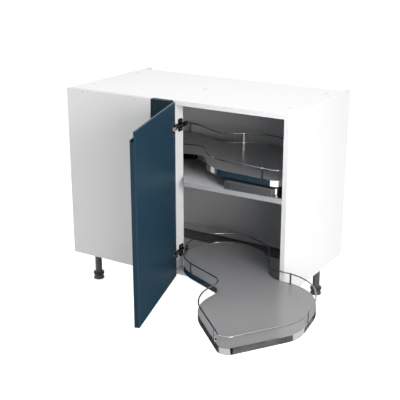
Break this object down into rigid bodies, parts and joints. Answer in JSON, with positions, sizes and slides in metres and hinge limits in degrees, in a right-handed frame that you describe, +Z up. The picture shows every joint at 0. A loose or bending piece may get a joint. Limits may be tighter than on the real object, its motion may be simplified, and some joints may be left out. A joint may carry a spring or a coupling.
{
  "type": "blind corner base unit with swing-out trays",
  "caption": "Blind corner base unit with a hinged door, corner filler and kidney-shaped trays that swing out on arms, railed with chrome wire.",
  "frame": {"origin": "on the floor, under the middle of the whole unit's bounding box, with the door open and the lower tray out as in the picture", "axes": "+X to the right along the front, +Y from the front to the wall, +Z up"},
  "size_m": [1.2391, 1.1498, 0.8708],
  "materials": {
    "white_board": "satin",
    "white_front": "satin",
    "white_plastic": "matt",
    "zinc_screw": "satin",
    "blue_front": "satin",
    "blue_filler": "satin",
    "leg_plastic": "matt",
    "foot_plastic": "matt",
    "nickel": "polished",
    "black_metal": "satin",
    "plated_steel": "satin",
    "grey_plastic": "satin",
    "chrome": "polished",
    "tray_grey": "satin"
  },
  "bodies": {
    "carcase": {"side_left": "white_board", "side_right": "white_board", "top_board": "white_board", "bottom_board": "white_board", "back_board": "white_board", "stile": "white_board", "shelf": "white_board", "blind_panel": "white_front", "cam_covers": "white_plastic", "panel_screws": "zinc_screw", "base_screws_upper": "zinc_screw", "base_screws_lower": "zinc_screw", "hinge_screws_upper": "zinc_screw", "hinge_screws_lower": "zinc_screw", "corner_filler": "blue_filler", "leg_front_left": "leg_plastic", "leg_front_right": "leg_plastic", "leg_rear_left": "leg_plastic", "leg_rear_right": "leg_plastic", "hinge_plate_upper": "black_metal", "hinge_arm_upper": "black_metal", "post_cap_upper": "black_metal", "base_plate_upper": "plated_steel", "housing_upper": "grey_plastic", "pivot_post_upper": "chrome", "hinge_plate_lower": "black_metal", "hinge_arm_lower": "black_metal", "post_cap_lower": "black_metal", "base_plate_lower": "plated_steel", "housing_lower": "grey_plastic", "pivot_post_lower": "chrome"},
    "door": {"door_leaf": "blue_front", "hinge_cup_upper": "nickel", "hinge_cup_lower": "nickel", "hinge_link_upper": "nickel", "hinge_link_lower": "nickel"},
    "upper_arm": {"swing_arm_upper": "black_metal"},
    "upper_tray": {"tray_board_upper": "tray_grey", "tray_band_upper": "chrome", "tray_rail_upper": "chrome", "tray_posts_upper": "chrome", "tray_hub_upper": "plated_steel", "hub_washer_upper": "plated_steel"},
    "lower_arm": {"swing_arm_lower": "black_metal"},
    "lower_tray": {"tray_board_lower": "tray_grey", "tray_band_lower": "chrome", "tray_rail_lower": "chrome", "tray_posts_lower": "chrome", "tray_hub_lower": "plated_steel", "hub_washer_lower": "plated_steel"},
    "foot_front_left": {"foot_front_left": "foot_plastic"},
    "foot_front_right": {"foot_front_right": "foot_plastic"},
    "foot_rear_left": {"foot_rear_left": "foot_plastic"},
    "foot_rear_right": {"foot_rear_right": "foot_plastic"}
  },
  "joints": [
    {"name": "door_swing", "type": "hinge", "parent": "carcase", "child": "door", "pos_m": [-0.11178, -0.00688, 0.51], "axis": [0, 0, -1], "range_deg": [0, 37.7]},
    {"name": "upper_arm_swing", "type": "hinge", "parent": "carcase", "child": "upper_arm", "pos_m": [0.32403, 0.04279, 0.588], "axis": [0, 0, 1], "range_deg": [0, 54.79]},
    {"name": "upper_tray_turn", "type": "hinge", "parent": "upper_arm", "child": "upper_tray", "pos_m": [0.01066, 0.14393, 0.588], "axis": [0, 0, 1], "range_deg": [-119.9, 0]},
    {"name": "lower_arm_swing", "type": "hinge", "parent": "carcase", "child": "lower_arm", "pos_m": [0.32403, 0.04279, 0.206], "axis": [0, 0, 1], "range_deg": [-43.56, 0]},
    {"name": "lower_tray_turn", "type": "hinge", "parent": "lower_arm", "child": "lower_tray", "pos_m": [0.26948, -0.28194, 0.206], "axis": [0, 0, 1], "range_deg": [0, 16.2]},
    {"name": "foot_turn_front_left", "type": "hinge", "parent": "carcase", "child": "foot_front_left", "pos_m": [-0.56958, 0.08992, 0.02], "axis": [0, 0, 1], "continuous": true},
    {"name": "foot_turn_front_right", "type": "hinge", "parent": "carcase", "child": "foot_front_right", "pos_m": [0.32542, 0.08992, 0.02], "axis": [0, 0, 1], "continuous": true},
    {"name": "foot_turn_rear_left", "type": "hinge", "parent": "carcase", "child": "foot_rear_left", "pos_m": [-0.56958, 0.44492, 0.02], "axis": [0, 0, 1], "continuous": true},
    {"name": "foot_turn_rear_right", "type": "hinge", "parent": "carcase", "child": "foot_rear_right", "pos_m": [0.32542, 0.44492, 0.02], "axis": [0, 0, 1], "continuous": true}
  ],
  "couplings": [
    {"joint": "upper_tray_turn", "follows": "upper_arm_swing", "ratio": -2.1874},
    {"joint": "lower_tray_turn", "follows": "lower_arm_swing", "ratio": -0.3696}
  ]
}
